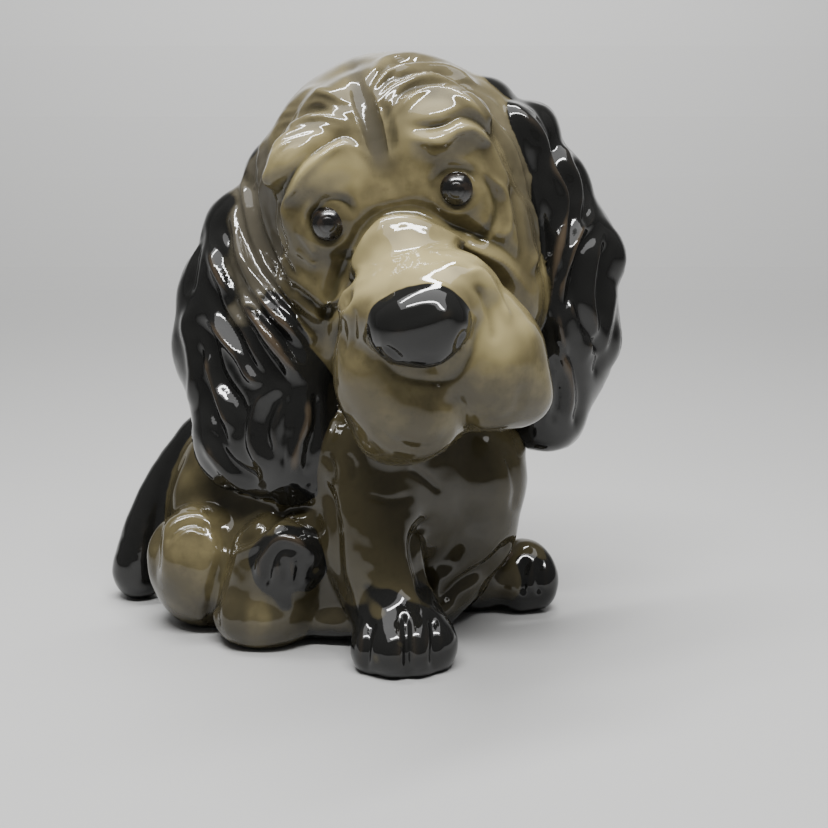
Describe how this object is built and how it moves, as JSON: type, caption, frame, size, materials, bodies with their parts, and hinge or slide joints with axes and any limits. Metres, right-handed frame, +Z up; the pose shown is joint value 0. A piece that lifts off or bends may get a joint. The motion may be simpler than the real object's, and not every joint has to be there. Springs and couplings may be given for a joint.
{
  "type": "ceramic dog figurine",
  "caption": "Seated long-eared puppy statuette in glazed ceramic: hollow head and body castings with ears, legs, tail, eyes and nose luted on, standing on a flat foot.",
  "frame": {"origin": "middle of the bounding box, on the plane that the foot rests on", "axes": "+Z up, the puppy's face looks along -Y, +X towards the puppy's left side"},
  "size_m": [0.1509, 0.1152, 0.16],
  "materials": {
    "cream_glaze": "clear gloss glaze over pale olive-cream underglaze",
    "dark_glaze": "clear gloss glaze over grey-brown to near-black underglaze"
  },
  "bodies": {
    "root": {"torso_shell": "cream_glaze", "head_shell": "cream_glaze", "right_ear": "dark_glaze", "left_ear": "dark_glaze", "right_eye": "dark_glaze", "left_eye": "dark_glaze", "nose": "dark_glaze", "right_foreleg": "cream_glaze", "left_foreleg": "cream_glaze", "right_hind_leg": "cream_glaze", "left_hind_leg": "cream_glaze", "tail": "dark_glaze"}
  },
  "joints": []
}
